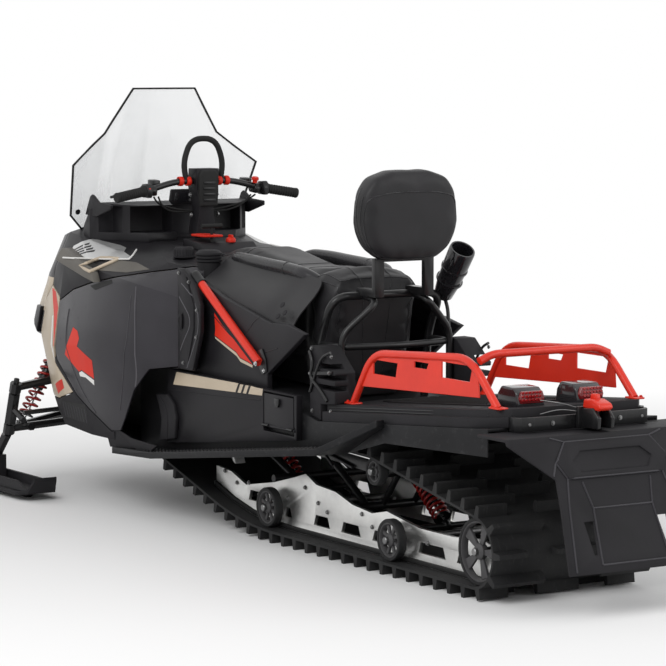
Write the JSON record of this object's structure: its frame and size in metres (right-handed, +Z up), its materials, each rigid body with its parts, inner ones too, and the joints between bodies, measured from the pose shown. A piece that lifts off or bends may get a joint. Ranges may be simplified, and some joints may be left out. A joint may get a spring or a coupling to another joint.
{
  "type": "snowmobile",
  "caption": "Two-up utility snowmobile with a wide rubber track, steered skis, tall windshield, passenger backrest and a rear cargo rack.",
  "frame": {"origin": "bottom centre of the bounding box: on the ground, halfway between the ski tips and the snow flap, on the plane of symmetry", "axes": "+X forward to the skis, +Y to the rider's left, +Z up"},
  "size_m": [3.54, 1.196, 1.449],
  "materials": {
    "track_rubber": "matte",
    "wheel_black": "satin",
    "rail_metal": "satin",
    "frame_black": "satin",
    "spring_red": "gloss",
    "tunnel_black": "satin",
    "board_black": "satin",
    "plastic_black": "satin",
    "panel_grey": "satin",
    "panel_tan": "satin",
    "clear_screen": "clear",
    "engine_metal": "matte",
    "paint_red": "gloss",
    "grip_rubber": "matte",
    "ski_plastic": "satin",
    "seat_cover": "matte",
    "lamp_red": "gloss",
    "flap_plastic": "satin",
    "lamp_clear": "gloss"
  },
  "bodies": {
    "chassis": {"backrest_frame": "frame_black", "backrest_pad": "seat_cover", "belly_pan": "plastic_black", "bulkhead": "tunnel_black", "cargo_platform": "plastic_black", "console": "plastic_black", "dash": "plastic_black", "drive_axle": "wheel_black", "engine": "engine_metal", "filler_cap": "plastic_black", "frame_brackets": "plastic_black", "front_arms": "frame_black", "front_bumper": "frame_black", "front_shocks": "spring_red", "hand_guard": "plastic_black", "headlamps": "lamp_clear", "hitch": "paint_red", "hood": "plastic_black", "nose_blades": "panel_grey", "nose_cone": "panel_tan", "passenger_frame": "frame_black", "passenger_seat": "seat_cover", "rack_hoop": "paint_red", "rack_left": "paint_red", "rack_right": "paint_red", "rear_bumper": "frame_black", "running_boards": "board_black", "scoops": "panel_tan", "seat": "seat_cover", "shift_lever": "plastic_black", "side_fairings": "plastic_black", "side_panels": "panel_grey", "skid_arms": "frame_black", "skid_rails": "rail_metal", "skid_shocks": "spring_red", "skid_wheels": "wheel_black", "snow_flap": "flap_plastic", "steering_column": "frame_black", "subframe_tubes": "paint_red", "tail_lamps": "lamp_red", "tie_rods": "frame_black", "track": "track_rubber", "tunnel": "tunnel_black", "tunnel_panels": "plastic_black", "vent_panels": "plastic_black", "windshield": "clear_screen"},
    "steering": {"steering_riser": "plastic_black", "handlebar": "frame_black", "grips": "grip_rubber", "grab_loop": "grip_rubber"},
    "ski_left": {"spindle_left": "frame_black", "ski_left": "ski_plastic"},
    "ski_right": {"spindle_right": "frame_black", "ski_right": "ski_plastic"},
    "hatch": {"hatch_door": "plastic_black"}
  },
  "joints": [
    {"name": "bar_steer", "type": "hinge", "parent": "chassis", "child": "steering", "pos_m": [0.745, 0, 0.935], "axis": [-0.2079, 0, 0.9781], "range_deg": [-32, 32]},
    {"name": "ski_left_steer", "type": "hinge", "parent": "chassis", "child": "ski_left", "pos_m": [1.35, 0.47, 0.215], "axis": [-0.342, 0, 0.9397], "range_deg": [-30, 30]},
    {"name": "ski_right_steer", "type": "hinge", "parent": "chassis", "child": "ski_right", "pos_m": [1.35, -0.47, 0.215], "axis": [-0.342, 0, 0.9397], "range_deg": [-30, 30]},
    {"name": "hatch_hinge", "type": "hinge", "parent": "chassis", "child": "hatch", "pos_m": [-0.335, 0.326, 0.392], "axis": [-1, 0, 0], "range_deg": [0, 80]}
  ],
  "couplings": [
    {"joint": "ski_left_steer", "follows": "bar_steer", "ratio": 0.9},
    {"joint": "ski_right_steer", "follows": "bar_steer", "ratio": 0.9}
  ]
}
